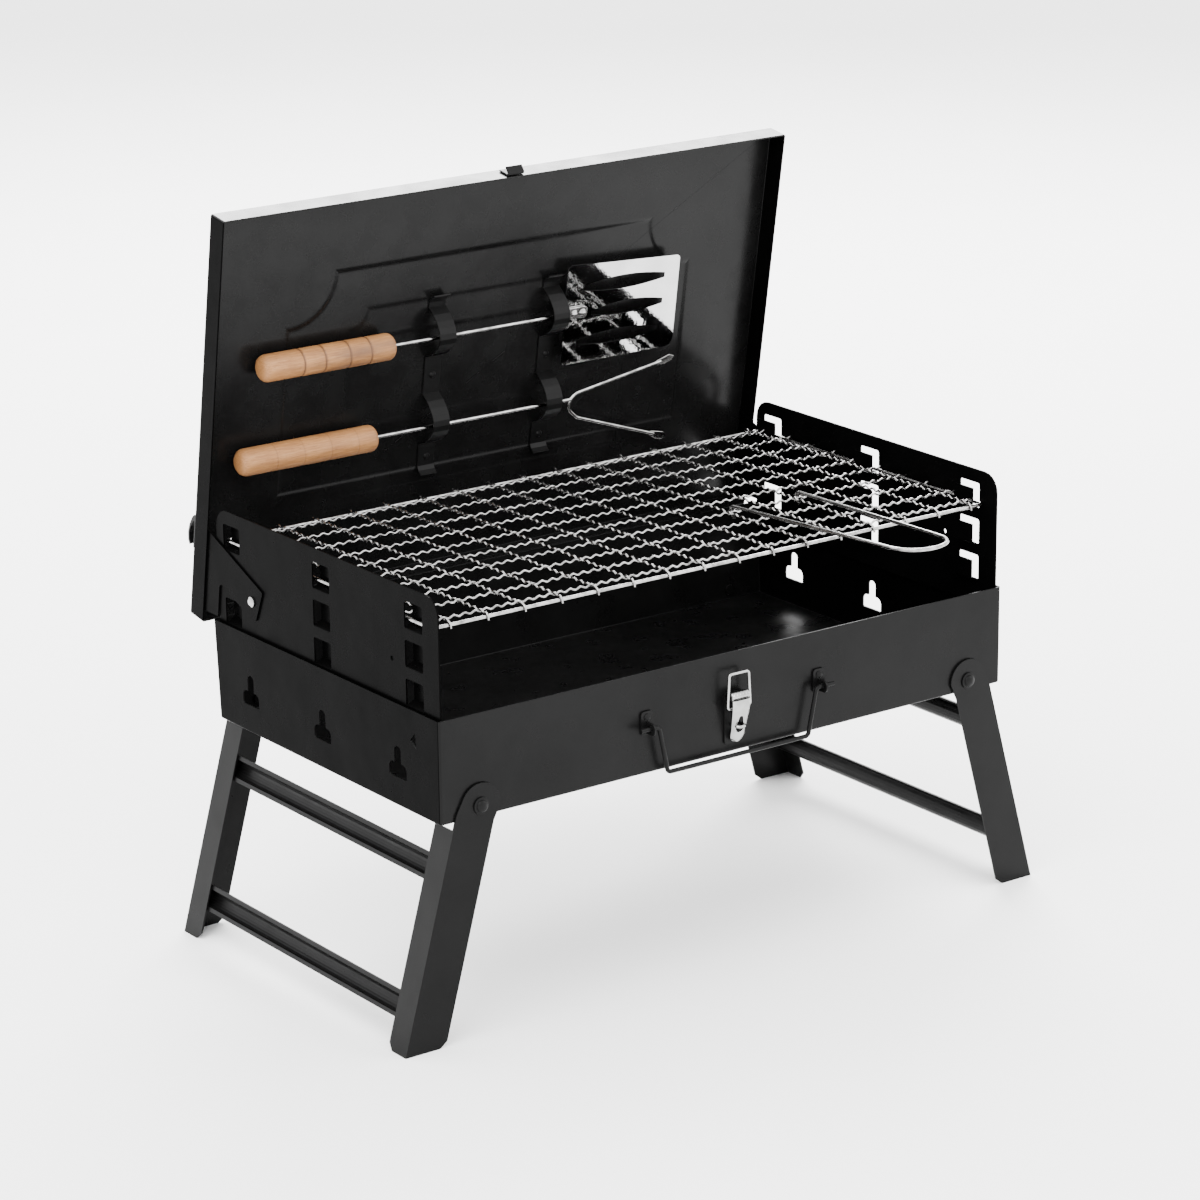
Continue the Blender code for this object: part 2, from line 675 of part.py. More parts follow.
def grate_grip():
    """A wire loop whose two ends hook round one long wire of the grate."""
    r = GRIP_BEND
    left, right = GRIP_X
    c, s = math.cos(GRIP_RISE), math.sin(GRIP_RISE)

    def at(x, out, up):
        return (x, GRIP_Y - out * c + up * s, MESH_Z + out * s + up * c)

    turn = [math.radians(-95 - 35 * k) for k in range(6)]
    hook_l = [at(left, r * math.cos(a), r * math.sin(a)) for a in turn]
    far = GRIP_REACH - 18.0
    loop = [(left + 1.5, far), (left + 4.0, far + 11.0), (left + 13.0, far + 17.5)]
    loop += [(left + 23.0, far + 18.0), (right - 19.0, far + 14.0)]
    loop += [(right - 12.0, far + 4.0), (right - 10.5, far - 12.0)]
    tip = [at(px, out, r) for px, out in loop]
    hook_r = [at(right, r * math.cos(a), r * math.sin(a)) for a in reversed(turn)]
    path = hook_l + [at(left, 0, r)] + tip + [at(right, 0, r)] + hook_r
    o = place(wire("grate_grip", path, GRIP_WIRE), "grate_grip", bright)
    origin_at(o, (0, GRIP_Y, MESH_Z))
    return o


def tool_at(u, v, off):
    """A world point from a place along the lid, up the lid and off its panel."""
    return tuple(c / MM for c in lid_frame(off) @ Vector((u * MM, v * MM, 0)))


def spatula_blade():
    loops = [rounded(BLADE_CORNERS, [4, 6, 3, 4], 4)]
    steps = 8
    for v, x0, x1 in BLADE_SLOTS:
        up = []
        down = []
        for k in range(steps + 1):
            u = x0 + (x1 - x0) * k / steps
            swell = math.sin(math.pi * (k + 1.2) / (steps + 2.4))
            up.append((u, v + 5.2 * swell))
            down.append((u, v - 4.2 * swell))
        loops.append(up + down[::-1])
    for u in SPATULA_RIVETS:
        loops.append(circle(u, SPATULA_V, 1.5, 10))
    sheet = solid(outline("spatula_blade", loops, 1.0), lid_frame(TOOL_OFF - 1.2))
    return place(sheet, "spatula_blade", bright)


def spatula_rod():
    start = SPATULA_GRIP[1] - BORE_DEPTH + 1.0
    path = [tool_at(start, SPATULA_V, TOOL_OFF), tool_at(SPATULA_TAB[0] + 5.5, SPATULA_V, TOOL_OFF)]
    mesh = solid(wire("spatula_rod", path, ROD_R, False, 2))
    o = place(mesh, "spatula_rod", bright)
    tab = rounded(box2(SPATULA_TAB[0], SPATULA_V - 3.8, SPATULA_TAB[1], SPATULA_V + 3.8), 2.5, 3)
    holes = [circle(u, SPATULA_V, 1.5, 10) for u in SPATULA_RIVETS]
    boolean(o, solid(outline("tab", [tab] + holes, 1.2), lid_frame(TOOL_OFF + 0.3)), "UNION", "tab")
    return o


def spatula_rivet(name, u):
    top = 0.9 + GAP
    low = -1.7 - GAP
    profile = [(0.0, top + 1.3), (1.5, top + 1.0), (2.6, top), (1.2, top)]
    profile += [(1.2, low), (2.2, low), (1.9, low - 0.7), (0.0, low - 0.8)]
    m = lid_frame(TOOL_OFF) @ Matrix.Translation((u * MM, SPATULA_V * MM, 0))
    return turned(name, profile, m, bright, 14)


def tool_grip(name, span, v):
    """A turned wooden handle with a bore for the rod's end."""
    u0, u1 = span
    length = u1 - u0
    r = GRIP_R
    ends = [math.radians(22.5 * k) for k in range(5)]
    profile = [(r - 6.0 + 6.0 * math.sin(a), 6.0 - 6.0 * math.cos(a)) for a in ends]
    profile += [(r - 5.0 + 5.0 * math.cos(a), length - 5.0 + 5.0 * math.sin(a)) for a in ends]
    bore = [(ROD_R + GAP, length), (ROD_R + GAP, length - BORE_DEPTH), (0.0, length - BORE_DEPTH)]
    profile = [(0.0, 0.0)] + profile + bore
    lay = Matrix.Rotation(math.radians(90), 4, "Y")
    m = lid_frame(TOOL_OFF) @ Matrix.Translation((u0 * MM, v * MM, 0)) @ lay
    return turned(name, profile[::-1], m, timber, 20)


def fork_prongs():
    """One wire: a rod, welded to a bent fork with two flattened tips."""
    start = FORK_GRIP[1] - BORE_DEPTH + 1.0
    rod = [tool_at(start, FORK_V, TOOL_OFF), tool_at(61.5, FORK_V, TOOL_OFF)]
    o = place(solid(wire("fork_rod", rod, ROD_R, False, 2)), "fork_rod", bright)
    upper = [(133.0, 117.3), (65.5, 105.8), (60.2, 101.5)]
    lower = [(60.6, 94.5), (67.5, 88.3), (133.0, 65.2)]
    path = bend([tool_at(u, v, TOOL_OFF) for u, v in upper + lower], 4.0, 3)
    boolean(o, solid(wire("prongs", path, PRONG_R, False, 2)), "UNION", "prongs")
    for n, (v, tilt) in enumerate(((117.5, 9.7), (64.9, -19.4))):
        blade = [(-4.5, -1.6), (2.0, -2.9), (7.5, -2.2), (10.0, 0.6), (6.0, 2.9), (-4.5, 1.6)]
        tip = rounded(blade, 0.8, 2)
        turn = Matrix.Rotation(math.radians(tilt), 4, "Z")
        m = lid_frame(TOOL_OFF) @ Matrix.Translation((134.0 * MM, v * MM, 0)) @ turn
        boolean(o, solid(outline("tip", [tip], 2.2), m), "UNION", "tip_%d" % n)
    return o


def lug_rivet(name, side):
    front = TRAY_W / 2 + GAP + 1.0 + GAP
    back = TRAY_W / 2 - SHEET - GAP
    profile = [(0.0, front + 1.2), (1.6, front + 0.9), (2.5, front), (1.1, front)]
    profile += [(1.1, back), (2.2, back), (1.9, back - 0.8), (0.0, back - 0.9)]
    m = frame((1, 0, 0), (0, 0, 1), (0, -1, 0), (side * HANDLE_X, 0, HANDLE_Z + LUG_RIVET_UP))
    return turned(name, profile, m, paint, 12)


def handle_lug(name, side):
    """A folded lug, riveted to the front wall, that carries one end of the handle wire."""
    wall = -TRAY_W / 2 - GAP
    x = side * HANDLE_X
    pad = rounded(box2(x - 4.5, HANDLE_Z - 5.0, x + 4.5, HANDLE_Z + 10.0), 2.0, 3)
    hole = circle(x, HANDLE_Z + LUG_RIVET_UP, 1.5, 12)
    o = place(solid(outline(name, [pad, hole], 1.0), front_frame(wall - 0.5)), name, paint)
    tip = HANDLE_Y - 4.0
    low, high = HANDLE_Z - 4.0, HANDLE_Z + 3.2
    corners = [(wall - 0.5, low), (wall - 0.5, high), (tip, high), (tip, low)]
    ear = rounded(corners, [0, 0, 3.0, 3.0], 4)
    eye = circle(HANDLE_Y, HANDLE_Z, HANDLE_WIRE + GAP, 14)
    boolean(o, solid(outline("ear", [ear, eye], 1.2), side_frame(x)), "UNION", "ear")
    return o


def carry_handle():
    y = HANDLE_Y
    z = HANDLE_Z
    low = z - HANDLE_DROP
    x = HANDLE_X
    path = [(-x - 8.0, y, z), (-x + 5.5, y, z), (-HANDLE_HALF, y, low)]
    path += [(HANDLE_HALF, y, low), (x - 5.5, y, z), (x + 8.0, y, z)]
    o = place(wire("carry_handle", bend(path, 3.0, 4), HANDLE_WIRE), "carry_handle", paint)
    origin_at(o, (0, y, z))
    return o


def latch_base():
    """The back plate, with two knuckles for the hinge pin."""
    wall = -TRAY_W / 2 - GAP
    y, z = LATCH_HINGE
    plate = rounded(box2(-BASE_HALF, TRAY_Z + 6.0, BASE_HALF, z + 1.5), 2.0, 3)
    holes = [circle(0, TRAY_Z + v, 1.5, 10) for v in LATCH_RIVETS]
    back = solid(outline("latch_base", [plate] + holes, 1.0), front_frame(wall - 0.5))
    o = place(back, "latch_base", paint)
    for n, x in enumerate((-5.0, 5.0)):
        arc = [math.radians(100 + 20 * k) for k in range(10)]
        ear = [(wall - 0.5, z - 2.3), (wall - 0.5, z + 1.5)]
        ear += [(y + 2.3 * math.cos(a), z + 2.3 * math.sin(a)) for a in arc]
        loops = [ear, circle(y, z, PIN_R + GAP, 12)]
        boolean(o, solid(outline("ear", loops, 1.2), side_frame(x)), "UNION", "ear_%d" % n)
    return o


def latch_rivet(name, v):
    front = TRAY_W / 2 + GAP + 1.0 + GAP
    back = TRAY_W / 2 - SHEET - GAP
    profile = [(0.0, front + 0.7), (1.5, front + 0.5), (2.2, front), (1.1, front)]
    profile += [(1.1, back), (2.2, back), (1.9, back - 0.8), (0.0, back - 0.9)]
    m = frame((1, 0, 0), (0, 0, 1), (0, -1, 0), (0, 0, TRAY_Z + v))
    return turned(name, profile, m, paint, 12)


def latch_pin():
    r = PIN_R
    profile = [(0.0, 6.6), (1.7, 6.6), (1.7, 5.9), (r, 5.9)]
    profile += [(r, -5.9), (1.7, -5.9), (1.7, -6.6), (0.0, -6.6)]
    m = frame((0, 1, 0), (0, 0, 1), (1, 0, 0), (0, *LATCH_HINGE))
    return turned("latch_pin", profile, m, bright, 12)


def latch_staple():
    """The loop on the back plate that stands through the lever's slot for a padlock."""
    y0 = -TRAY_W / 2 - GAP - 1.0 - GAP
    z = TRAY_Z + STAPLE_UP
    path = [(-3.0, y0, z), (-3.0, y0 - 7.6, z), (3.0, y0 - 7.6, z), (3.0, y0, z)]
    return place(wire("latch_staple", bend(path, 2.6, 5), 1.0), "latch_staple", bright)


def latch_lever():
    """A plate hung on the hinge pin by a rolled knuckle, with two ears for the bail."""
    y, z = LATCH_HINGE
    tip = TRAY_Z + 7.6
    arc = [math.radians(175 - 20 * k) for k in range(16)]
    outer = [(y + 1.6, tip), (y - 0.5, z - 20.0), (y - 2.6, z - 9.0), (y - 3.3, z - 4.0)]
    ring = [(y + 2.3 * math.cos(a), z + 2.3 * math.sin(a)) for a in arc]
    inner = [(y - 2.3, z - 4.4), (y - 1.6, z - 9.0), (y + 0.5, z - 20.0), (y + 2.6, tip)]
    loops = [outer + ring + inner, circle(y, z, PIN_R + GAP, 12)]
    stem = solid(outline("latch_lever", loops, 2 * STEM_HALF), side_frame(0))
    o = place(stem, "latch_lever", bright)
    blade = outer + [(y - 2.6, z - 3.4), (y - 1.7, z - 3.4)] + inner
    boolean(o, solid(outline("blade", [blade], 2 * LEVER_HALF), side_frame(0)), "UNION", "blade")
    r = LEVER_HALF
    turns = [math.radians(-180 + 15 * k) for k in range(13)]
    foot = [(r * math.cos(a), tip + r + r * math.sin(a)) for a in turns]
    waste = [(-r - 3, tip + r)] + foot + [(r + 3, tip + r), (r + 3, tip - 4), (-r - 3, tip - 4)]
    boolean(o, solid(outline("foot", [waste], 12), front_frame(y + 1.0)), "DIFFERENCE", "foot")
    up = TRAY_Z + STAPLE_UP
    slot = rounded(box2(-4.6, up - 2.4, 4.6, up + 2.4), 1.8, 3)
    boolean(o, solid(outline("slot", [slot], 12), front_frame(y)), "DIFFERENCE", "slot")
    by, bz = BAIL_PIVOT
    for n, x in enumerate((-LEVER_HALF + 0.6, LEVER_HALF - 0.6)):
        ear = [(by - 1.7, bz - 2.4), (by + 2.3, bz - 2.4), (by + 2.3, bz + 2.4), (by - 1.9, bz + 2.4)]
        loops = [ear, circle(by, bz, BAIL_R + GAP, 10)]
        boolean(o, solid(outline("ear", loops, 1.2), side_frame(x)), "UNION", "ear_%d" % n)
    origin_at(o, (0, y, z))
    return o


def latch_bail():
    """The wire loop that reaches up from the lever to the lid's catch."""
    y, z = BAIL_PIVOT
    top = TRAY_Z + 52.0
    near = LEVER_HALF - 2.4
    path = [(-near, y, z), (-BAIL_HALF, y, z), (-BAIL_HALF + 1.2, y, top)]
    path += [(BAIL_HALF - 1.2, y, top), (BAIL_HALF, y, z), (near, y, z)]
    o = place(wire("latch_bail", bend(path, 1.8, 4), BAIL_R), "latch_bail", bright)
    origin_at(o, (0, y, z))
    return o


def build():
    clear()
    tray()
    for side, sn in ((-1, "left"), (1, "right")):
        for end, en in ((-1, "front"), (1, "back")):
            leg("leg_%s_%s" % (en, sn), side, end)
            pivot_rivet("leg_rivet_%s_%s" % (en, sn), side, end)
        for at, an in zip(BAR_AT, ("upper", "lower")):
            cross_bar("cross_bar_%s_%s" % (an, sn), side, at)
        side_plate("side_plate_" + sn, side)
        lid_rivet("lid_rivet_" + sn, side)
        bracket("lid_bracket_" + sn, side)
        rear_claw("lid_claw_" + sn, side)
        clip("tool_clip_" + sn, side)
        for v, vn in zip(CLIP_RIVETS, ("low", "high")):
            clip_rivet("clip_rivet_%s_%s" % (vn, sn), side, v)
        handle_lug("handle_lug_" + sn, side)
        lug_rivet("lug_rivet_" + sn, side)
    lid_pan()
    lid_catch()
    grate()
    grate_grip()
    spatula_blade()
    spatula_rod()
    spatula_rivet("spatula_rivet_near", SPATULA_RIVETS[0])
    spatula_rivet("spatula_rivet_far", SPATULA_RIVETS[1])
    tool_grip("spatula_grip", SPATULA_GRIP, SPATULA_V)
    fork_prongs()
    tool_grip("fork_grip", FORK_GRIP, FORK_V)
    carry_handle()
    latch_base()
    latch_pin()
    latch_staple()
    latch_lever()
    latch_bail()
    latch_rivet("latch_rivet_low", LATCH_RIVETS[0])
    latch_rivet("latch_rivet_high", LATCH_RIVETS[1])


build()
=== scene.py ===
"""Looks of the folding camp grill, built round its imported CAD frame.

Lengths are in millimetres, except inside materials, which work in metres. X runs along the
grill, Y from its front to its back and Z up.
"""

import math

import bmesh
import bpy
from mathutils import Matrix, Vector


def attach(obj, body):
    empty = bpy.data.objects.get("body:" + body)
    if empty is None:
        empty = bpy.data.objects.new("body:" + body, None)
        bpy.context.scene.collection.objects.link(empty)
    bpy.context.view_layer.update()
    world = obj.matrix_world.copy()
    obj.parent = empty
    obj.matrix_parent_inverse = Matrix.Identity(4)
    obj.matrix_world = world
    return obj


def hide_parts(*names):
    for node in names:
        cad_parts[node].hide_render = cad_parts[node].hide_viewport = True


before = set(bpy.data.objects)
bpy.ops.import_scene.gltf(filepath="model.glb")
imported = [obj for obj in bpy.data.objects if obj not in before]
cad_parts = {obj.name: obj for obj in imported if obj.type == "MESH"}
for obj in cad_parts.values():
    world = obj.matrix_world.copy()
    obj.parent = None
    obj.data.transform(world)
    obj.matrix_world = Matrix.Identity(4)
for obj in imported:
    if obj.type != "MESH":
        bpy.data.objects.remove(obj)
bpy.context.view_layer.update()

MM = 0.001
SHEET = 1.0
TRAY_Z = 138.0
TRAY_X, TRAY_Y, TRAY_H = 215.0, 125.0, 64.0
TRAY_SETBACK = 4.0
VENT_Y = (-81.0, 1.0, 83.0)
LID_X, LID_H, LID_FLANGE = 215.0, 266.0, 15.4
LID_LEAN = math.radians(9.45)
LID_FOOT = (153.8, TRAY_Z + 61.0)
LID_LINES = ((0.155, 0.070, 0.2150, 0.034, 0.00042), (0.109, 0.060, 0.1865, 0.013, 0.00016))
LINE_SHARPNESS = 900.0
GRATE_X = 209.4
GRATE_FRONT, GRATE_BACK = -112.5, 115.0
MESH_Z, GRATE_ROD_Z = TRAY_Z + 119.0, TRAY_Z + 116.6
CROSS_WIRES, CROSS_PITCH = 16, 26.4
LONG_WIRES, LONG_PITCH, LONG_FIRST = 10, 23.5, -106.7
MESH_R, GRATE_ROD_R = 0.68, 1.2
WAVES_A_CELL = 3.5
GRIP_WIRE_R, GRIP_HOOK_R = 1.2, 3.4
GRIP_LEFT, GRIP_RIGHT = 70.0, 122.5
GRIP_RISE = math.radians(3.2)
TOOL_OFF = 10.6
TOOL_ROD_R, PRONG_R = 1.3, 1.2
SPATULA_V, FORK_V = 163.0, 102.0
HANDLE_R, BORE_R, BORE_DEPTH = 8.7, 1.6, 12.0
CARRY_Y, CARRY_Z, CARRY_R = -130.6, TRAY_Z + 30.0, 1.4
BAIL_Y, BAIL_R = -130.8, 0.9
LEVER_Y, LEVER_Z = -130.6, TRAY_Z + 37.5
LEG_PIVOT = (187.4, TRAY_Z + 7.5)
LEG_SHEET, GAP = 1.2, 0.3
SIDES = ((-1, "left"), (1, "right"))
ENDS = ((-1, "front"), (1, "back"))


# ---------------------------------------------------------------- shader helpers
class Shade:
    """A small wrapper round one material's node tree."""

    def __init__(self, name):
        self.m = bpy.data.materials.new(name)
        self.m.use_nodes = True
        self.t = self.m.node_tree
        self.b = self.t.nodes["Principled BSDF"]
        self.co = self.t.nodes.new("ShaderNodeTexCoord").outputs["Object"]

    def set(self, **kw):
        for k, v in kw.items():
            self.b.inputs[k.replace("_", " ")].default_value = v
        return self

    def link(self, a, b):
        self.t.links.new(a, b)

    def node(self, kind, **kw):
        n = self.t.nodes.new(kind)
        for k, v in kw.items():
            setattr(n, k, v)
        return n

    def math(self, op, a, b=None, c=None, clamp=False):
        n = self.node("ShaderNodeMath", operation=op, use_clamp=clamp)
        for i, v in enumerate((a, b, c)):
            if v is None:
                continue
            if isinstance(v, (int, float)):
                n.inputs[i].default_value = v
            else:
                self.link(v, n.inputs[i])
        return n.outputs[0]

    def scaled(self, sx, sy, sz):
        n = self.node("ShaderNodeMapping")
        n.inputs["Scale"].default_value = (sx, sy, sz)
        self.link(self.co, n.inputs["Vector"])
        return n.outputs[0]

    def noise(self, scale, detail=3.0, vector=None, rough=0.5):
        n = self.node("ShaderNodeTexNoise")
        n.inputs["Scale"].default_value = scale
        n.inputs["Detail"].default_value = detail
        n.inputs["Roughness"].default_value = rough
        self.link(vector or self.co, n.inputs["Vector"])
        return n.outputs["Fac"]

    def ramp(self, fac, *stops):
        n = self.node("ShaderNodeValToRGB")
        e = n.color_ramp.elements
        while len(e) < len(stops):
            e.new(0.5)
        for el, (p, col) in zip(e, stops):
            el.position = p
            el.color = (*col, 1.0) if len(col) == 3 else (col[0], col[0], col[0], 1.0)
        self.link(fac, n.inputs[0])
        return n.outputs[0]

    def mix(self, fac, a, b, blend="MIX"):
        n = self.node("ShaderNodeMix", data_type="RGBA", blend_type=blend)
        for sock, v in ((n.inputs[0], fac), (n.inputs[6], a), (n.inputs[7], b)):
            if isinstance(v, (int, float)):
                sock.default_value = v
            elif isinstance(v, tuple):
                sock.default_value = (*v, 1.0)
            else:
                self.link(v, sock)
        return n.outputs[2]

    def bump(self, height, distance, strength=1.0):
        n = self.node("ShaderNodeBump")
        n.inputs["Strength"].default_value = strength
        n.inputs["Distance"].default_value = distance
        self.link(height, n.inputs["Height"])
        if self.b.inputs["Normal"].is_linked:
            self.link(self.b.inputs["Normal"].links[0].from_socket, n.inputs["Normal"])
        self.link(n.outputs[0], self.b.inputs["Normal"])

    def axes(self):
        n = self.node("ShaderNodeSeparateXYZ")
        self.link(self.co, n.inputs[0])
        return n.outputs

    def color(self, sock):
        self.link(sock, self.b.inputs["Base Color"])

    def rough(self, sock):
        self.link(sock, self.b.inputs["Roughness"])


def black_paint(name, low=0.24, high=0.40, base=0.0018, peel=1.0, gloss=0.072):
    """Glossy black baked enamel with a light orange peel and faint wear."""
    s = Shade(name)
    s.set(Specular_IOR_Level=gloss, IOR=1.5)
    n = s.noise(26.0, 5.0)
    s.color(s.ramp(n, (0.3, (base,)), (0.75, (base * 1.9,))))
    s.rough(s.ramp(s.noise(55.0, 6.0), (0.3, (low,)), (0.7, (high,))))
    s.bump(s.noise(900.0, 2.0), 0.00003 * peel)
    s.bump(s.noise(22.0, 2.0), 0.0006 * peel)
    return s


def steel(name, low=0.16, high=0.30, tint=(0.80, 0.79, 0.77), dark=(0.56, 0.55, 0.53), grain=180.0):
    """Bright plated steel with slightly uneven gloss."""
    s = Shade(name)
    s.set(Metallic=1.0)
    n = s.noise(grain, 4.0)
    s.color(s.ramp(n, (0.3, dark), (0.62, tint)))
    s.rough(s.ramp(s.noise(grain * 0.4, 5.0), (0.3, (low,)), (0.7, (high,))))
    s.bump(s.noise(grain * 6.0, 2.0), 0.00002)
    return s


PAINT = black_paint("enamel").m
# A darker, barely glossy copy of the enamel for faces turned along X: painted shade on the tray's side walls,
# the lid's side flanges, the side plates and the lid brackets.
PAINT_SIDE_SHADE = black_paint("enamel_sides_shaded", 0.24, 0.38, 0.0006, 1.0, 0.008).m
PAINT_LEG = black_paint("enamel_legs", 0.26, 0.42, 0.0018, 0.7).m
PAINT_SMALL = black_paint("enamel_fittings", 0.28, 0.45, 0.0022, 0.5).m
STEEL_WIRE = steel("plated_wire", 0.14, 0.26, (0.38, 0.375, 0.37), (0.15, 0.147, 0.144)).m
STEEL_CHROME = steel("chrome_plate", 0.07, 0.17, (0.34, 0.34, 0.335), (0.22, 0.22, 0.215), 90.0).m


def blade_metal():
    s = steel("polished_blade", 0.02, 0.06, (0.50, 0.50, 0.50), (0.42, 0.42, 0.42), 60.0)
    s.bump(s.noise(9.0, 1.0), 0.00025)
    return s.m


def wood(name, rings, length, stain):
    """Pale turned wood along local X with a grain, burnt rings and a stained top."""
    s = Shade(name)
    s.set(Specular_IOR_Level=0.35)
    x, y, z = s.axes()
    grain = s.noise(9.0, 5.0, s.scaled(9.0, 120.0, 120.0), 0.65)
    broad = s.noise(5.0, 2.0, s.scaled(6.0, 30.0, 30.0))
    pores = s.noise(40.0, 2.0, s.scaled(7.0, 60.0, 60.0))
    dark, middle, light = (0.16, 0.060, 0.018), (0.25, 0.112, 0.036), (0.33, 0.168, 0.066)
    base = s.ramp(grain, (0.25, dark), (0.5, middle), (0.75, light))
    warm = s.mix(s.ramp(broad, (0.4, (0.0,)), (0.7, (0.45,))), base, (0.19, 0.085, 0.032))
    dots = s.ramp(pores, (0.62, (0.0,)), (0.72, (0.6,)))
    col = s.mix(dots, warm, (0.10, 0.045, 0.018))
    mask = None
    for at, width, depth in rings:
        d = s.math("ABSOLUTE", s.math("SUBTRACT", x, at))
        band = s.math("MULTIPLY", s.math("SUBTRACT", 1.0, s.math("DIVIDE", d, width), None, True), depth)
        mask = band if mask is None else s.math("MAXIMUM", mask, band)
    if mask is not None:
        col = s.mix(mask, col, (0.065, 0.026, 0.010))
        s.bump(s.math("SUBTRACT", 1.0, mask), 0.0004)
    top = s.math("MULTIPLY", s.math("SUBTRACT", z, 0.003), 260.0, None, True)
    away = s.math("MULTIPLY", s.math("SUBTRACT", x, length * stain), 60.0, None, True)
    blot = s.math("MULTIPLY", s.math("MULTIPLY", top, away), s.ramp(broad, (0.35, (0.2,)), (0.6, (0.75,))))
    col = s.mix(blot, col, (0.085, 0.038, 0.016))
    s.color(col)
    s.rough(s.ramp(grain, (0.3, (0.62,)), (0.7, (0.45,))))
    s.bump(grain, 0.00025)
    return s.m


def lid_paint():
    """Enamel with two pressed outlines on the lid panel, local x along it and y up it.

    Each outline is a rectangle with scooped upper corners, drawn by its distance from the edge.
    """
    s = black_paint("enamel_lid", 0.2, 0.32, 0.0022, 0.6, 0.11)
    x, y, z = s.axes()
    for half, low, high, scoop, depth in LID_LINES:
        qx = s.math("SUBTRACT", s.math("ABSOLUTE", x), half)
        up = s.math("SUBTRACT", y, high)
        down = s.math("SUBTRACT", low, y)
        edge = s.math("MAXIMUM", qx, s.math("MAXIMUM", up, down))
        reach = s.math("SQRT", s.math("ADD", s.math("MULTIPLY", qx, qx), s.math("MULTIPLY", up, up)))
        d = s.math("MAXIMUM", edge, s.math("SUBTRACT", scoop, reach))
        s.bump(s.math("TANH", s.math("MULTIPLY", d, LINE_SHARPNESS)), depth)
    s.bump(s.noise(6.0, 1.0), 0.004)
    return s.m


# ---------------------------------------------------------------- geometry helpers
def axes(x, y, z, origin):
    """A matrix whose columns are the three axes, at an origin in millimetres."""
    m = Matrix.Identity(4)
    for i in range(3):
        m[i][0], m[i][1], m[i][2], m[i][3] = x[i], y[i], z[i], origin[i] * MM
    return m


def lid_at(off=0.0):
    """Local x along the lid, y up its panel, z out of it towards the front."""
    s, c = math.sin(LID_LEAN), math.cos(LID_LEAN)
    return axes((1, 0, 0), (0, -s, c), (0, -c, -s), (0, LID_FOOT[0] - c * off, LID_FOOT[1] - s * off))


def tool_at(u, v, off=TOOL_OFF):
    return lid_at(off) @ Vector((u * MM, v * MM, 0))


def show(o, body, nodes, mat=None):
    """Puts a finished piece on its body in place of its CAD nodes."""
    if mat is not None:
        o.data.materials.clear()
        o.data.materials.append(mat)
    nodes = [nodes] if isinstance(nodes, str) else list(nodes)
    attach(o, body)
    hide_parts(*nodes)
    return o


def linked(name, data, matrix=None):
    o = bpy.data.objects.new(name, data)
    bpy.context.scene.collection.objects.link(o)
    if matrix is not None:
        o.matrix_world = matrix
    return o


def bend(points, radius, steps=8):
    """An open path with its inner corners rounded."""
    out = [tuple(points[0])]
    for i in range(1, len(points) - 1):
        p = Vector(points[i])
        a = (Vector(points[i - 1]) - p).normalized()
        b = (Vector(points[i + 1]) - p).normalized()
        half = a.angle(b) / 2
        if half > math.radians(89.5):
            out.append(tuple(p))
            continue
        back = radius / math.tan(half)
        start, stop = p + a * back, p + b * back
        centre = p + (a + b).normalized() * (radius / math.sin(half))
        u, w = start - centre, stop - centre
        total = u.angle(w)
        for k in range(steps + 1):
            t = k / steps
            spoke = u * math.sin((1 - t) * total) + w * math.sin(t * total)
            out.append(tuple(centre + spoke / math.sin(total)))
    out.append(tuple(points[-1]))
    return out


def wires(name, paths, radius, cyclic=False, sides=5):
    """Round wires along one or more paths given in millimetres."""
    c = bpy.data.curves.new(name, "CURVE")
    c.dimensions = "3D"
    c.bevel_depth = radius * MM
    c.bevel_resolution = sides
    c.use_fill_caps = True
    for path in paths:
        s = c.splines.new("POLY")
        s.points.add(len(path) - 1)
        for p, q in zip(s.points, path):
            p.co = (q[0] * MM, q[1] * MM, q[2] * MM, 1)
        s.use_cyclic_u = cyclic
        s.use_smooth = True
    return linked(name, c)


def as_mesh(o):
    """Turns a curve object into a mesh object of the same name."""
    bpy.context.view_layer.update()
    deps = bpy.context.evaluated_depsgraph_get()
    mesh = bpy.data.meshes.new_from_object(o.evaluated_get(deps))
    m = o.matrix_world.copy()
    name = o.name
    bpy.data.objects.remove(o)
    out = linked(name, mesh, m)
    mesh.shade_smooth()
    return out


def lathe(name, profile, matrix, steps=48):
    """A round piece: a profile of radius and height in millimetres turned about local Z."""
    bm = bmesh.new()
    rings = []
    for r, z in profile:
        if r < 1e-6:
            rings.append([bm.verts.new((0, 0, z * MM))])
        else:
            turn = [2 * math.pi * k / steps for k in range(steps)]
            rings.append([bm.verts.new((r * math.cos(a) * MM, r * math.sin(a) * MM, z * MM)) for a in turn])
    for a, b in zip(rings, rings[1:]):
        if len(a) == 1 and len(b) == 1:
            continue
        for k in range(steps):
            j = (k + 1) % steps
            if len(a) == 1:
                bm.faces.new((a[0], b[k], b[j]))
            elif len(b) == 1:
                bm.faces.new((a[k], b[0], a[j]))
            else:
                bm.faces.new((a[k], b[k], b[j], a[j]))
    bmesh.ops.recalc_face_normals(bm, faces=bm.faces)
    mesh = bpy.data.meshes.new(name)
    bm.to_mesh(mesh)
    bm.free()
    mesh.shade_smooth()
    mesh.set_sharp_from_angle(angle=math.radians(40))
    return linked(name, mesh, matrix)


def dome(r, height, base, steps=8):
    """Profile of a rivet's head for lathe, from its top to its edge."""
    turn = [math.pi / 2 * k / steps for k in range(steps + 1)]
    return [(r * math.sin(a), base + height * math.cos(a)) for a in turn]


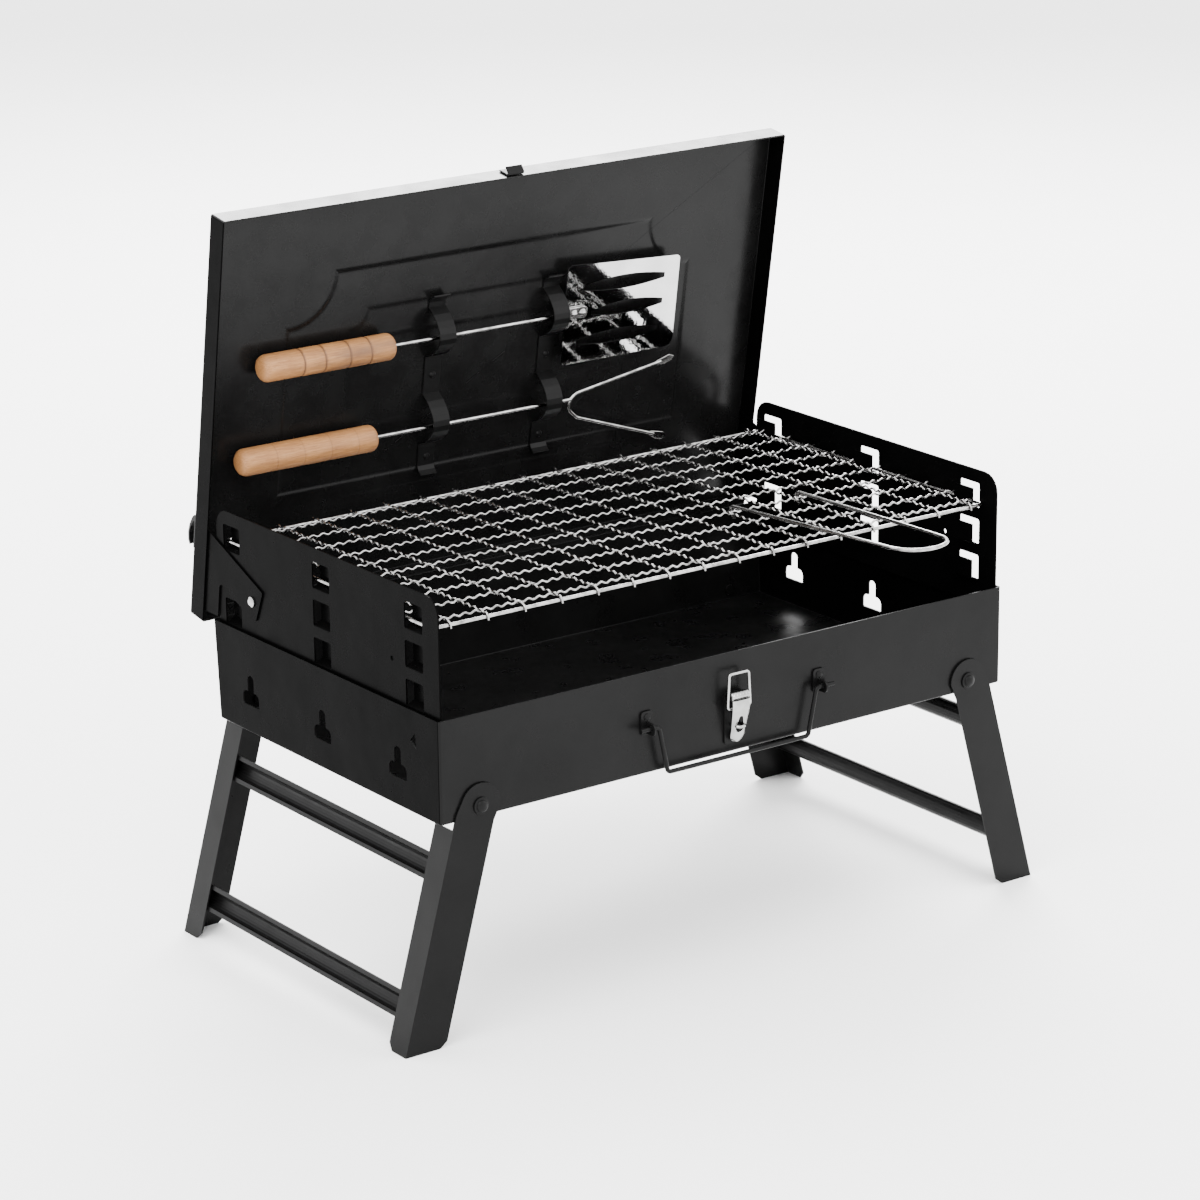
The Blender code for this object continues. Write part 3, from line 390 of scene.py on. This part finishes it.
def plate(name, loops, thick, matrix, edge=0.12):
    """A flat sheet with rounded edges: the first loop is its outline and the others are holes."""
    c = bpy.data.curves.new(name, "CURVE")
    c.dimensions = "2D"
    c.fill_mode = "BOTH"
    c.extrude = (thick / 2 - edge) * MM
    c.bevel_depth = edge * MM
    c.bevel_resolution = 1
    c.offset = -edge * MM
    for outline in loops:
        s = c.splines.new("POLY")
        s.points.add(len(outline) - 1)
        for p, q in zip(s.points, outline):
            p.co = (q[0] * MM, q[1] * MM, 0, 1)
        s.use_cyclic_u = True
    return as_mesh(linked(name, c, matrix))


def rounded(points, radius, steps=6):
    """A closed outline with rounded corners, of one radius or one for each corner."""
    out = []
    n = len(points)
    radii = radius if isinstance(radius, (list, tuple)) else [radius] * n
    for i, p in enumerate(points):
        a = (Vector(points[i - 1]) - Vector(p)).normalized()
        b = (Vector(points[(i + 1) % n]) - Vector(p)).normalized()
        half = a.angle(b) / 2
        r = radii[i]
        start = Vector(p) + a * (r / math.tan(half))
        stop = Vector(p) + b * (r / math.tan(half))
        centre = Vector(p) + (a + b).normalized() * (r / math.sin(half))
        u, w = start - centre, stop - centre
        turn = math.atan2(u.x * w.y - u.y * w.x, u.dot(w))
        for k in range(steps + 1):
            t = turn * k / steps
            x = centre.x + u.x * math.cos(t) - u.y * math.sin(t)
            y = centre.y + u.x * math.sin(t) + u.y * math.cos(t)
            out.append((x, y))
    return out


def arc(cx, cy, r, first, last, steps):
    """Points of a round stretch between two angles in degrees."""
    turn = [math.radians(first + (last - first) * k / steps) for k in range(steps + 1)]
    return [(cx + r * math.cos(a), cy + r * math.sin(a)) for a in turn]


def disc(cx, cy, r, n=24):
    return arc(cx, cy, r, 0, 360, n)[:-1]


def corner_centres(x0, x1, y0, y1, r):
    """Centre and first angle of each rounded corner of a rectangle."""
    return ((x1 - r, y0 + r, -90), (x1 - r, y1 - r, 0), (x0 + r, y1 - r, 90), (x0 + r, y0 + r, 180))


# ---------------------------------------------------------------- materials on the carried CAD nodes
WIRE_NODES = ("spatula_rod", "fork_rod", "grate", "grate_grip")
CHROME_NODES = ("latch_pin", "latch_staple", "latch_lever", "latch_bail", "lid_rivet_left", "lid_rivet_right")
FITTINGS = (
    # The latch base takes this dark enamel as painted shade, so that it shows dark beside the lever.
    "latch_base",
    "handle_lug",
    "lug_rivet",
    "carry_handle",
    "lid_catch",
    "lid_claw",
    "tool_clip",
    "clip_rivet",
)
CAD_BEVEL = 0.28
CAD_BEVELS = {"latch_lever": 0.35, "latch_base": 0.25, "spatula_blade": 0.15, "tray": 0.35, "lid_pan": 0.5}


def node_material(name):
    if name == "spatula_blade":
        return BLADE
    if name.startswith(("leg_", "cross_bar")):
        return PAINT_LEG
    if name in CHROME_NODES or name.startswith("latch_rivet"):
        return STEEL_CHROME
    if name in WIRE_NODES or name.startswith("spatula_rivet"):
        return STEEL_WIRE
    # Side plates and lid brackets take the darker side enamel copy, painted shade.
    if name.startswith(("side_plate", "lid_bracket")):
        return PAINT_SIDE_SHADE
    if name.startswith(FITTINGS):
        return PAINT_SMALL
    return PAINT


def edge_bevel(o, width, angle):
    m = o.modifiers.new("edge", "BEVEL")
    m.width = width * MM
    m.segments = 2
    m.limit_method = "ANGLE"
    m.angle_limit = math.radians(angle)
    m.harden_normals = True


BLADE = blade_metal()
for name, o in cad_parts.items():
    o.data.materials.clear()
    o.data.materials.append(node_material(name))
    edge_bevel(o, CAD_BEVELS.get(name, CAD_BEVEL), 38)


# ---------------------------------------------------------------- folded sheet pans
def sheet_wall(o, thickness, offset):
    wall = o.modifiers.new("sheet", "SOLIDIFY")
    wall.thickness = thickness * MM
    wall.offset = offset
    return wall


def pan(name, rect, depth, corner, matrix, mats):
    """An open sheet pan: rect(h) gives its four sides at height h, and its bends are rounded."""
    bm = bmesh.new()
    levels = [(depth * (1.0 - k / 6.0), 0.0) for k in range(6)]
    levels += [(corner - y, corner - x) for x, y in arc(0.0, 0.0, corner, 0, 90, 5)]
    rings = []
    for h, inset in levels:
        ring = []
        for cx, cy, first in corner_centres(*rect(h), corner):
            for x, y in arc(cx, cy, corner - inset, first, first + 90, 6):
                ring.append(bm.verts.new((x * MM, y * MM, h * MM)))
        rings.append(ring)
    n = len(rings[0])
    for a, b in zip(rings, rings[1:]):
        for k in range(n):
            bm.faces.new((a[k], b[k], b[(k + 1) % n], a[(k + 1) % n]))
    bm.faces.new(rings[-1])
    bmesh.ops.recalc_face_normals(bm, faces=bm.faces)
    floor_face = [f for f in bm.faces if len(f.verts) > 4][0]
    if floor_face.normal.z > 0:
        bmesh.ops.reverse_faces(bm, faces=bm.faces)
    mesh = bpy.data.meshes.new(name)
    bm.to_mesh(mesh)
    bm.free()
    for m in mats:
        mesh.materials.append(m)
    # Faces turned along X take the second material, which on the tray and lid is the darker side enamel copy,
    # painted shade.
    for f in mesh.polygons:
        f.material_index = 1 if abs(f.normal.x) > 0.8 else 0
    mesh.shade_smooth()
    mesh.set_sharp_from_angle(angle=math.radians(50))
    o = linked(name, mesh, matrix)
    sheet_wall(o, SHEET, -1.0).use_even_offset = True
    return o


def cut(o, loops, depth, matrix):
    """Cuts outlines through a piece."""
    for outline in loops:
        c = bpy.data.curves.new("cut", "CURVE")
        c.dimensions = "2D"
        c.fill_mode = "BOTH"
        c.extrude = depth / 2 * MM
        s = c.splines.new("POLY")
        s.points.add(len(outline) - 1)
        for p, q in zip(s.points, outline):
            p.co = (q[0] * MM, q[1] * MM, 0, 1)
        s.use_cyclic_u = True
        tool = as_mesh(linked("cut", c, matrix))
        bm = bmesh.new()
        bm.from_mesh(tool.data)
        bmesh.ops.remove_doubles(bm, verts=bm.verts, dist=1e-6)
        bmesh.ops.recalc_face_normals(bm, faces=bm.faces)
        bm.to_mesh(tool.data)
        bm.free()
        m = o.modifiers.new("cut", "BOOLEAN")
        m.operation = "DIFFERENCE"
        m.solver = "EXACT"
        m.object = tool
        bpy.context.view_layer.update()
        deps = bpy.context.evaluated_depsgraph_get()
        mesh = bpy.data.meshes.new_from_object(o.evaluated_get(deps))
        o.modifiers.clear()
        o.data = mesh
        bpy.data.objects.remove(tool)


def flat_normals(o):
    """Lets the large faces of a sheet set the shading at its bends."""
    m = o.modifiers.new("normals", "WEIGHTED_NORMAL")
    m.keep_sharp = True


def tray_rect(h):
    return (-TRAY_X, TRAY_X, -TRAY_Y, TRAY_Y - TRAY_SETBACK * (1.0 - h / TRAY_H))


def keyhole(y):
    """A vent of the side walls: a wide foot with a narrow neck above it."""
    foot, neck = 9.25, 3.5
    low, mid, top = TRAY_Z + 18.0, TRAY_Z + 27.0, TRAY_Z + 37.5
    points = [(y - foot, low), (y + foot, low), (y + foot, mid), (y + neck, mid)]
    points += [(y + neck, top), (y - neck, top), (y - neck, mid), (y - foot, mid)]
    return rounded(points, [1.0, 1.0, 4.0, 0.6, 3.2, 3.2, 0.6, 4.0], 5)


def tray_shell():
    lanced_tab = [(-101.5, TRAY_Z + 40.5), (-94.5, TRAY_Z + 45.0), (-100.0, TRAY_Z + 50.5)]
    base = Matrix.Translation((0, 0, TRAY_Z * MM))
    # The tray's side walls take the darker side enamel copy, painted shade.
    o = pan("tray_shell", tray_rect, TRAY_H, 1.6, base, [PAINT, PAINT_SIDE_SHADE])
    across = axes((0, 1, 0), (0, 0, 1), (1, 0, 0), (0, 0, 0))
    cut(o, [keyhole(y) for y in VENT_Y] + [lanced_tab], 2 * TRAY_X + 20.0, across)
    edge_bevel(o, 0.2, 50)
    flat_normals(o)
    show(o, "tray", "tray")


def lid_rect(h):
    return (-LID_X, LID_X, 0.0, LID_H)


def lid_shell():
    # The lid's side flanges take the darker side enamel copy, painted shade.
    o = pan("lid_shell", lid_rect, LID_FLANGE, 1.4, lid_at(), [lid_paint(), PAINT_SIDE_SHADE])
    edge_bevel(o, 0.2, 50)
    flat_normals(o)
    show(o, "lid", "lid_pan")


# ---------------------------------------------------------------- grate
CROSS_X = [(i - (CROSS_WIRES - 1) / 2) * CROSS_PITCH for i in range(CROSS_WIRES)]
LONG_Y = [LONG_FIRST + i * LONG_PITCH for i in range(LONG_WIRES)]


def crimped(start, stop, flip, pitch, first):
    """Place and height along one crimped wire, which changes sides at each crossing."""
    period = pitch / WAVES_A_CELL
    n = int((stop - start) / 0.8)
    out = []
    for k in range(n + 1):
        at = start + (stop - start) * k / n
        out.append((at, MESH_Z + flip * MESH_R * math.cos(2 * math.pi * (at - first) / period)))
    return out


def grate_wires():
    paths = []
    for i, y in enumerate(LONG_Y):
        beside_window = i in (0, 5, 9)
        far = 205.2 if beside_window else GRATE_X + 1.2
        run = crimped(-far, far, (-1) ** i, CROSS_PITCH, CROSS_X[0])
        paths.append([(x, y, z) for x, z in run])
    for j, x in enumerate(CROSS_X):
        run = crimped(GRATE_FRONT + 0.4, GRATE_BACK + 1.4, -((-1) ** j), LONG_PITCH, LONG_Y[0])
        nib = [(-2.3, -1.6), (-1.9, 0.6), (-0.8, 1.8)]
        path = [(x, GRATE_FRONT + out, GRATE_ROD_Z + up) for out, up in nib]
        paths.append(path + [(x, y, z) for y, z in run])
    show(as_mesh(wires("grate_wires", paths, MESH_R, False, 2)), "grate", "grate", STEEL_WIRE)


def grate_frame():
    ring = []
    for cx, cy, first in corner_centres(-GRATE_X, GRATE_X, GRATE_FRONT, GRATE_BACK, 3.0):
        ring += [(x, y, GRATE_ROD_Z) for x, y in arc(cx, cy, 3.0, first, first + 90, 8)]
    o = as_mesh(wires("grate_frame", [ring], GRATE_ROD_R, True, 6))
    show(o, "grate", "grate", STEEL_WIRE)


def grip_at(x, out, up):
    """A point of the lifting grip, forward of and above the long wire that it hooks on."""
    c, s = math.cos(GRIP_RISE), math.sin(GRIP_RISE)
    hinge = LONG_Y[3]
    return (x, hinge - out * c + up * s, MESH_Z + out * s + up * c)


def grip_wire():
    hook = arc(0.0, 0.0, GRIP_HOOK_R, -95, -270, 10)
    left = [grip_at(GRIP_LEFT, out, up) for out, up in hook]
    right = [grip_at(GRIP_RIGHT, out, up) for out, up in reversed(hook)]
    loop = [(71.5, 151.8), (74.0, 162.8), (83.0, 169.3), (93.0, 169.8)]
    loop += [(103.5, 165.8), (110.5, 155.8), (112.0, 139.8)]
    arms = [left[-1]] + [grip_at(x, out, GRIP_HOOK_R) for x, out in loop] + [right[0]]
    path = left[:-1] + bend(arms, 16.0, 6) + right[1:]
    o = as_mesh(wires("grip_wire", [path], GRIP_WIRE_R, False, 5))
    show(o, "grate_grip", "grate_grip", STEEL_WIRE)


# ---------------------------------------------------------------- tools
def wooden_handle(body, span, v, rings, stain):
    """A turned handle with burnt rings, given by place, width and depth in metres, and grooves."""
    length = span[1] - span[0]
    profile = [(0.0, 0.0)] + arc(HANDLE_R - 5.0, 5.0, 5.0, -90, 0, 8)
    for at, width, depth in rings:
        if depth > 0.5:
            z = at / MM
            profile += [(HANDLE_R, z - 1.1), (HANDLE_R - 0.35, z - 0.3)]
            profile += [(HANDLE_R - 0.35, z + 0.3), (HANDLE_R, z + 1.1)]
    profile += arc(HANDLE_R - 4.0, length - 4.0, 4.0, 0, 90, 8)
    profile += [(BORE_R, length), (BORE_R, length - BORE_DEPTH), (0.0, length - BORE_DEPTH)]
    name = body + "_grip"
    o = lathe(name + "_turned", profile, Matrix.Identity(4), 64)
    o.data.transform(Matrix.Rotation(math.radians(90), 4, "Y"))
    o.data.transform(Matrix.Rotation(math.radians(90), 4, "X"))
    o.matrix_world = lid_at(TOOL_OFF) @ Matrix.Translation((span[0] * MM, v * MM, 0))
    show(o, body, name, wood(name + "_wood", rings, length * MM, stain))


def tool_rod(name, body, start, stop, v):
    path = [tool_at(start, v) / MM, tool_at(stop, v) / MM]
    o = as_mesh(wires(name, [path], TOOL_ROD_R, False, 6))
    show(o, body, body + "_rod", STEEL_WIRE)


def spatula_handle():
    deep = [(at, 0.0012, 0.95) for at in (0.0281, 0.0436, 0.0619, 0.0773)]
    wooden_handle("spatula", (-180.2, -83.2), SPATULA_V, deep, 0.3)


def spatula_steel():
    tool_rod("spatula_shank", "spatula", -94.2, 47.5, SPATULA_V)
    low, high = SPATULA_V - 3.8, SPATULA_V + 3.8
    corners = [(42.0, low), (68.0, low), (68.0, high), (42.0, high)]
    holes = [disc(u, SPATULA_V, 1.3) for u in (57.5, 64.0)]
    tab = plate("spatula_tab", [rounded(corners, 2.5)] + holes, 1.2, lid_at(TOOL_OFF + 0.3))
    show(tab, "spatula", "spatula_rod", STEEL_WIRE)


def fork_handle():
    faint = [(0.024, 0.0009, 0.3), (0.044, 0.0009, 0.25), (0.064, 0.0009, 0.3), (0.084, 0.0009, 0.25)]
    wooden_handle("fork", (-192.3, -92.0), FORK_V, faint, 0.9)


def fork_steel():
    tool_rod("fork_shank", "fork", -103.0, 61.5, FORK_V)
    upper = [(133.0, 117.3), (65.5, 105.8), (60.2, 101.5)]
    lower = [(60.6, 94.5), (67.5, 88.3), (133.0, 65.2)]
    prongs = bend([tool_at(u, v) / MM for u, v in upper + lower], 6.0, 8)
    o = as_mesh(wires("fork_prongs", [prongs], PRONG_R, False, 6))
    show(o, "fork", "fork_rod", STEEL_WIRE)
    tip = [(-4.5, -1.6), (2.0, -2.9), (7.5, -2.2), (10.0, 0.6), (6.0, 2.9), (-4.5, 1.6)]
    for n, (v, tilt) in enumerate(((117.5, 9.7), (64.9, -19.4))):
        place = Matrix.Translation((134.0 * MM, v * MM, 0))
        m = lid_at(TOOL_OFF) @ place @ Matrix.Rotation(math.radians(tilt), 4, "Z")
        o = plate("fork_tip_%d" % n, [rounded(tip, 0.8)], 1.6, m, 0.3)
        show(o, "fork", "fork_rod", STEEL_WIRE)


# ---------------------------------------------------------------- front wall fittings
def mirrored(points):
    """A path through the given right-hand points and their mirror images, left end first."""
    return [(-x, y, z) for x, y, z in points] + list(reversed(points))


def carry_handle():
    drop = CARRY_Z - 30.0
    path = mirrored([(74.0, CARRY_Y, CARRY_Z), (60.5, CARRY_Y, CARRY_Z), (54.0, CARRY_Y, drop)])
    o = as_mesh(wires("carry_handle_wire", [bend(path, 3.0, 10)], CARRY_R, False, 6))
    show(o, "carry_handle", "carry_handle", PAINT_SMALL)


def latch_bail():
    low, high = TRAY_Z + 30.0, TRAY_Z + 52.0
    path = mirrored([(4.2, BAIL_Y, low), (8.6, BAIL_Y, low), (7.4, BAIL_Y, high)])
    o = as_mesh(wires("bail_wire", [bend(path, 1.8, 8)], BAIL_R, False, 5))
    show(o, "latch_bail", "latch_bail", STEEL_CHROME)


def latch_staple():
    y, z = -126.6, TRAY_Z + 18.5
    path = mirrored([(3.0, y, z), (3.0, y - 7.6, z)])
    o = as_mesh(wires("staple_wire", [bend(path, 2.6, 8)], 1.0, False, 5))
    show(o, "tray", "latch_staple", STEEL_CHROME)


def lever_half(down):
    """Half width of the latch lever at a distance below its hinge."""
    if down > 24.6:
        return math.sqrt(max(0.02, 5.3 ** 2 - (down - 24.6) ** 2))
    return 6.5 - 1.2 * min(1.0, max(0.0, (down - 6.0) / 16.0))


def lever_plate():
    """A pressed plate that tapers from the knuckle to a round foot and has rolled edges."""
    side = [(-3.4, -2.0), (-3.5, -5.0), (-3.0, -9.0), (-1.9, -14.0)]
    side += [(-0.7, -20.0), (0.5, -25.0), (1.9, -29.9)]
    steps, columns = 36, 12
    bm = bmesh.new()
    rows = []
    for k in range(steps + 1):
        t = k / steps * (len(side) - 1)
        i = min(int(t), len(side) - 2)
        f = t - i
        y = side[i][0] * (1 - f) + side[i + 1][0] * f
        z = side[i][1] * (1 - f) + side[i + 1][1] * f
        row = []
        for j in range(columns + 1):
            u = 2.0 * j / columns - 1.0
            lip = 0.9 * max(0.0, abs(u) - 0.72) / 0.28
            row.append(bm.verts.new((u * lever_half(-z) * MM, (LEVER_Y + y + lip) * MM, (LEVER_Z + z) * MM)))
        rows.append(row)
    for a, b in zip(rows, rows[1:]):
        for j in range(columns):
            bm.faces.new((a[j], a[j + 1], b[j + 1], b[j]))
    bmesh.ops.recalc_face_normals(bm, faces=bm.faces)
    mesh = bpy.data.meshes.new("lever_plate")
    bm.to_mesh(mesh)
    bm.free()
    mesh.shade_smooth()
    o = linked("lever_plate", mesh)
    sheet_wall(o, 0.8, 0.0)
    slot = arc(0.0, TRAY_Z + 17.0, 3.0, -180, 0, 9) + arc(0.0, TRAY_Z + 23.5, 1.5, 0, 180, 6)
    cut(o, [slot], 14.0, axes((1, 0, 0), (0, 0, 1), (0, -1, 0), (0, LEVER_Y, 0)))
    edge_bevel(o, 0.15, 50)
    show(o, "latch_lever", "latch_lever", STEEL_CHROME)


def lever_knuckle():
    half, turns = 6.5, 6
    profile = [(0.0, -half), (2.4, -half)]
    for k in range(turns):
        z = -6.2 + k * 2.2
        profile += [(2.75, z), (2.75, z + 1.5), (2.45, z + 1.7)]
    profile += [(2.4, half), (0.0, half)]
    m = axes((0, 1, 0), (0, 0, 1), (1, 0, 0), (0, LEVER_Y, LEVER_Z))
    show(lathe("lever_knuckle", profile, m, 40), "latch_lever", "latch_lever", STEEL_CHROME)


def leg_rivets():
    """Domed pivot rivets through each leg and the tray's wall, upset inside."""
    face = TRAY_Y + GAP + LEG_SHEET + GAP
    for side, side_name in SIDES:
        for end, end_name in ENDS:
            wall = TRAY_Y if end < 0 else tray_rect(LEG_PIVOT[1] - TRAY_Z)[3]
            back = wall - SHEET - 0.6
            head = dome(3.9, 2.0, face + 1.0)
            head += [(4.4, face + 0.75), (5.3, face + 0.7), (5.4, face), (1.9, face)]
            tail = [(1.9, back), (3.6, back), (3.4, back - 1.0), (0.0, back - 1.2)]
            m = axes((1, 0, 0), (0, 0, -end), (0, end, 0), (side * LEG_PIVOT[0], 0, LEG_PIVOT[1]))
            end_side = "%s_%s" % (end_name, side_name)
            o = lathe("leg_pivot_" + end_side, head + tail, m)
            show(o, "tray", "leg_rivet_" + end_side, PAINT_LEG)


tray_shell()
lid_shell()
grate_wires()
grate_frame()
grip_wire()
spatula_handle()
fork_handle()
spatula_steel()
fork_steel()
carry_handle()
latch_bail()
latch_staple()
lever_plate()
lever_knuckle()
leg_rivets()


# ---------------------------------------------------------------- stage, light and camera
def studio_floor():
    mesh = bpy.data.meshes.new("floor")
    mesh.from_pydata([(-12, -12, 0), (12, -12, 0), (12, 12, 0), (-12, 12, 0)], [], [(0, 1, 2, 3)])
    s = Shade("studio_floor")
    s.color(s.ramp(s.noise(3.0), (0.3, (0.90,)), (0.7, (0.92,))))
    s.set(Roughness=0.9, Specular_IOR_Level=0.1)
    mesh.materials.append(s.m)
    linked("floor", mesh)


def softbox(name, place, target, width, height, power):
    """A rectangular area light; its places and sizes are in metres and its power in watts."""
    light = bpy.data.lights.new(name, "AREA")
    light.shape = "RECTANGLE"
    light.size = width
    light.size_y = height
    light.energy = power
    o = linked(name, light)
    o.location = place
    o.rotation_euler = (Vector(target) - Vector(place)).to_track_quat("-Z", "Y").to_euler()


def white_world(strength):
    world = bpy.data.worlds.new("studio")
    world.use_nodes = True
    background = world.node_tree.nodes["Background"]
    background.inputs["Color"].default_value = (1.0, 1.0, 1.0, 1.0)
    background.inputs["Strength"].default_value = strength
    bpy.context.scene.world = world


def main_camera(place, azimuth, elevation, roll, lens):
    """A camera that looks down at an elevation, turned from straight ahead by an azimuth."""
    az, el, tilt = math.radians(azimuth), math.radians(elevation), math.radians(roll)
    ahead = Vector((math.sin(az) * math.cos(el), math.cos(az) * math.cos(el), -math.sin(el)))
    right = Vector((math.cos(az), -math.sin(az), 0.0))
    up = right.cross(ahead)
    rolled_right = right * math.cos(tilt) + up * math.sin(tilt)
    rolled_up = up * math.cos(tilt) - right * math.sin(tilt)
    camera = bpy.data.cameras.new("camera")
    camera.lens = lens
    camera.sensor_width = 36.0
    o = linked("camera", camera)
    o.matrix_world = axes(rolled_right, rolled_up, -ahead, place)
    bpy.context.scene.camera = o


studio_floor()
softbox("back_box", (1.375, 1.73, 1.78), (0, 0.11, 0.46), 1.8, 1.0, 190.0)
softbox("key_box", (-1.4, -0.6, 1.9), (0, 0, 0.2), 1.6, 1.6, 60.0)
softbox("front_box", (1.6, -1.6, 1.3), (0, 0, 0.2), 1.4, 1.2, 20.0)
white_world(3.9)
main_camera((-1472.66, -2017.28, 986.37), 35.976, 17.397, -0.604, 125.06)
